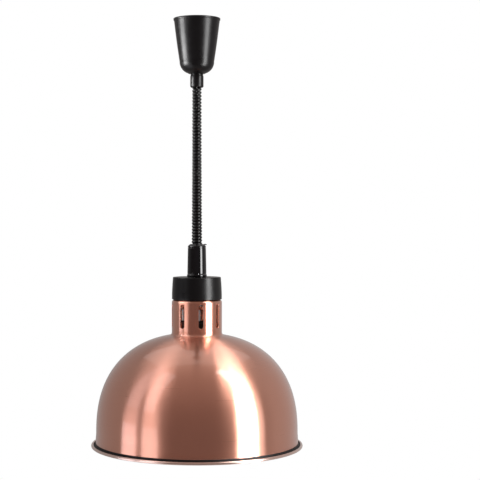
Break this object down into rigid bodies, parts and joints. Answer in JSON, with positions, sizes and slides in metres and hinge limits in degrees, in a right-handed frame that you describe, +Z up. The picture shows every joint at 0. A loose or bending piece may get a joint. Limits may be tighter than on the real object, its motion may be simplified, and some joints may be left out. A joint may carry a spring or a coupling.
{
  "type": "pendant heat lamp",
  "caption": "Ceiling pendant heat lamp: copper dome shade with a slotted neck and reflector bulb, on a curly cord and a sprung rise-and-fall cable reel.",
  "frame": {"origin": "centre of the ceiling plate's top face, which lies against the ceiling", "axes": "+Z up along the lamp's axis, so the lamp hangs towards -Z; the view of the picture looks along +Y with +X to the right"},
  "size_m": [0.284, 0.284, 0.5749],
  "materials": {
    "zinc_steel": "zinc plated, dull bright",
    "satin_black_plastic": "moulded black, satin",
    "gloss_black_lacquer": "stoved black lacquer, high gloss",
    "cord_jacket": "smooth black cord jacket, semi-gloss",
    "wire_rope": "stranded stainless wire",
    "spring_steel": "blued strip",
    "nylon": "natural nylon",
    "white_plastic": "moulded white",
    "brass": "plain turned brass",
    "copper_shade": "spun, copper plated, brushed round the axis and lacquered",
    "bright_aluminium": "bright drawn aluminium",
    "wire_copper": "copper wire, sleeved",
    "ceramic": "white glazed steatite",
    "black_phenolic": "black phenolic moulding",
    "bulb_glass": "hard glass, silvered inside behind the clear dimpled front",
    "nickel": "nickel plated",
    "black_glass": "black vitreous insulator",
    "tungsten": "drawn tungsten"
  },
  "bodies": {
    "ceiling": {"ceiling_plate": "zinc_steel", "ceiling_cup": "satin_black_plastic", "reel_frame": "zinc_steel", "frame_screw_1": "zinc_steel", "frame_screw_2": "zinc_steel", "exit_sleeve": "satin_black_plastic", "sleeve_spacer": "satin_black_plastic", "sleeve_nut": "zinc_steel", "cable_guide": "nylon", "terminal_block": "white_plastic", "terminal_screw_1": "brass", "terminal_screw_2": "brass", "terminal_screw_3": "brass", "supply_lead": "cord_jacket", "cable_run": "wire_rope", "reel_axle": "zinc_steel", "axle_clip": "zinc_steel", "spring_arbor": "zinc_steel"},
    "reel": {"reel_drum": "nylon", "drum_cover": "nylon", "power_spring": "spring_steel", "cable_winding": "wire_rope"},
    "cord": {"curly_cord": "cord_jacket", "suspension_cable": "wire_rope"},
    "lamp": {"cord_gland": "gloss_black_lacquer", "gland_screw": "zinc_steel", "grip_tube": "gloss_black_lacquer", "anchor_disc": "zinc_steel", "cable_ferrule": "brass", "tube_nut": "zinc_steel", "base_ring": "gloss_black_lacquer", "top_cap": "satin_black_plastic", "hollow_stem": "zinc_steel", "cap_nut": "zinc_steel", "lamp_lead": "cord_jacket", "shade": "copper_shade", "earth_tag": "brass", "shade_washer": "zinc_steel", "shade_nut": "zinc_steel", "lampholder_cover": "bright_aluminium", "lampholder_locknut": "zinc_steel", "lampholder_base": "ceramic", "lampholder_body": "black_phenolic", "screw_shell": "brass", "centre_contact": "brass", "line_terminal": "brass", "neutral_terminal": "brass", "line_wire": "wire_copper", "neutral_wire": "wire_copper"},
    "bulb": {"bulb_envelope": "bulb_glass", "bulb_cap": "nickel", "bulb_insulator": "black_glass", "bulb_tip_contact": "nickel", "bulb_mount": "bulb_glass", "lead_in_wire_1": "nickel", "lead_in_wire_2": "nickel", "filament": "tungsten"}
  },
  "joints": [
    {"name": "reel_turn", "type": "hinge", "parent": "ceiling", "child": "reel", "pos_m": [-0.0045, 0, -0.027], "axis": [0, 1, 0], "range_deg": [0, 2500]},
    {"name": "cord_swing", "type": "hinge", "parent": "ceiling", "child": "cord", "pos_m": [0, 0, -0.0928], "axis": [0, 1, 0], "range_deg": [-15, 15]},
    {"name": "lamp_lift", "type": "slide", "parent": "cord", "child": "lamp", "axis": [0, 0, -1], "range_m": [0, 0.7], "deforming": ["curly_cord", "suspension_cable"]},
    {"name": "bulb_out", "type": "slide", "parent": "lamp", "child": "bulb", "axis": [0, 0, -1], "range_m": [0, 0.18]}
  ],
  "couplings": [
    {"joint": "reel_turn", "follows": "lamp_lift", "rad_per_m": 62.305}
  ]
}
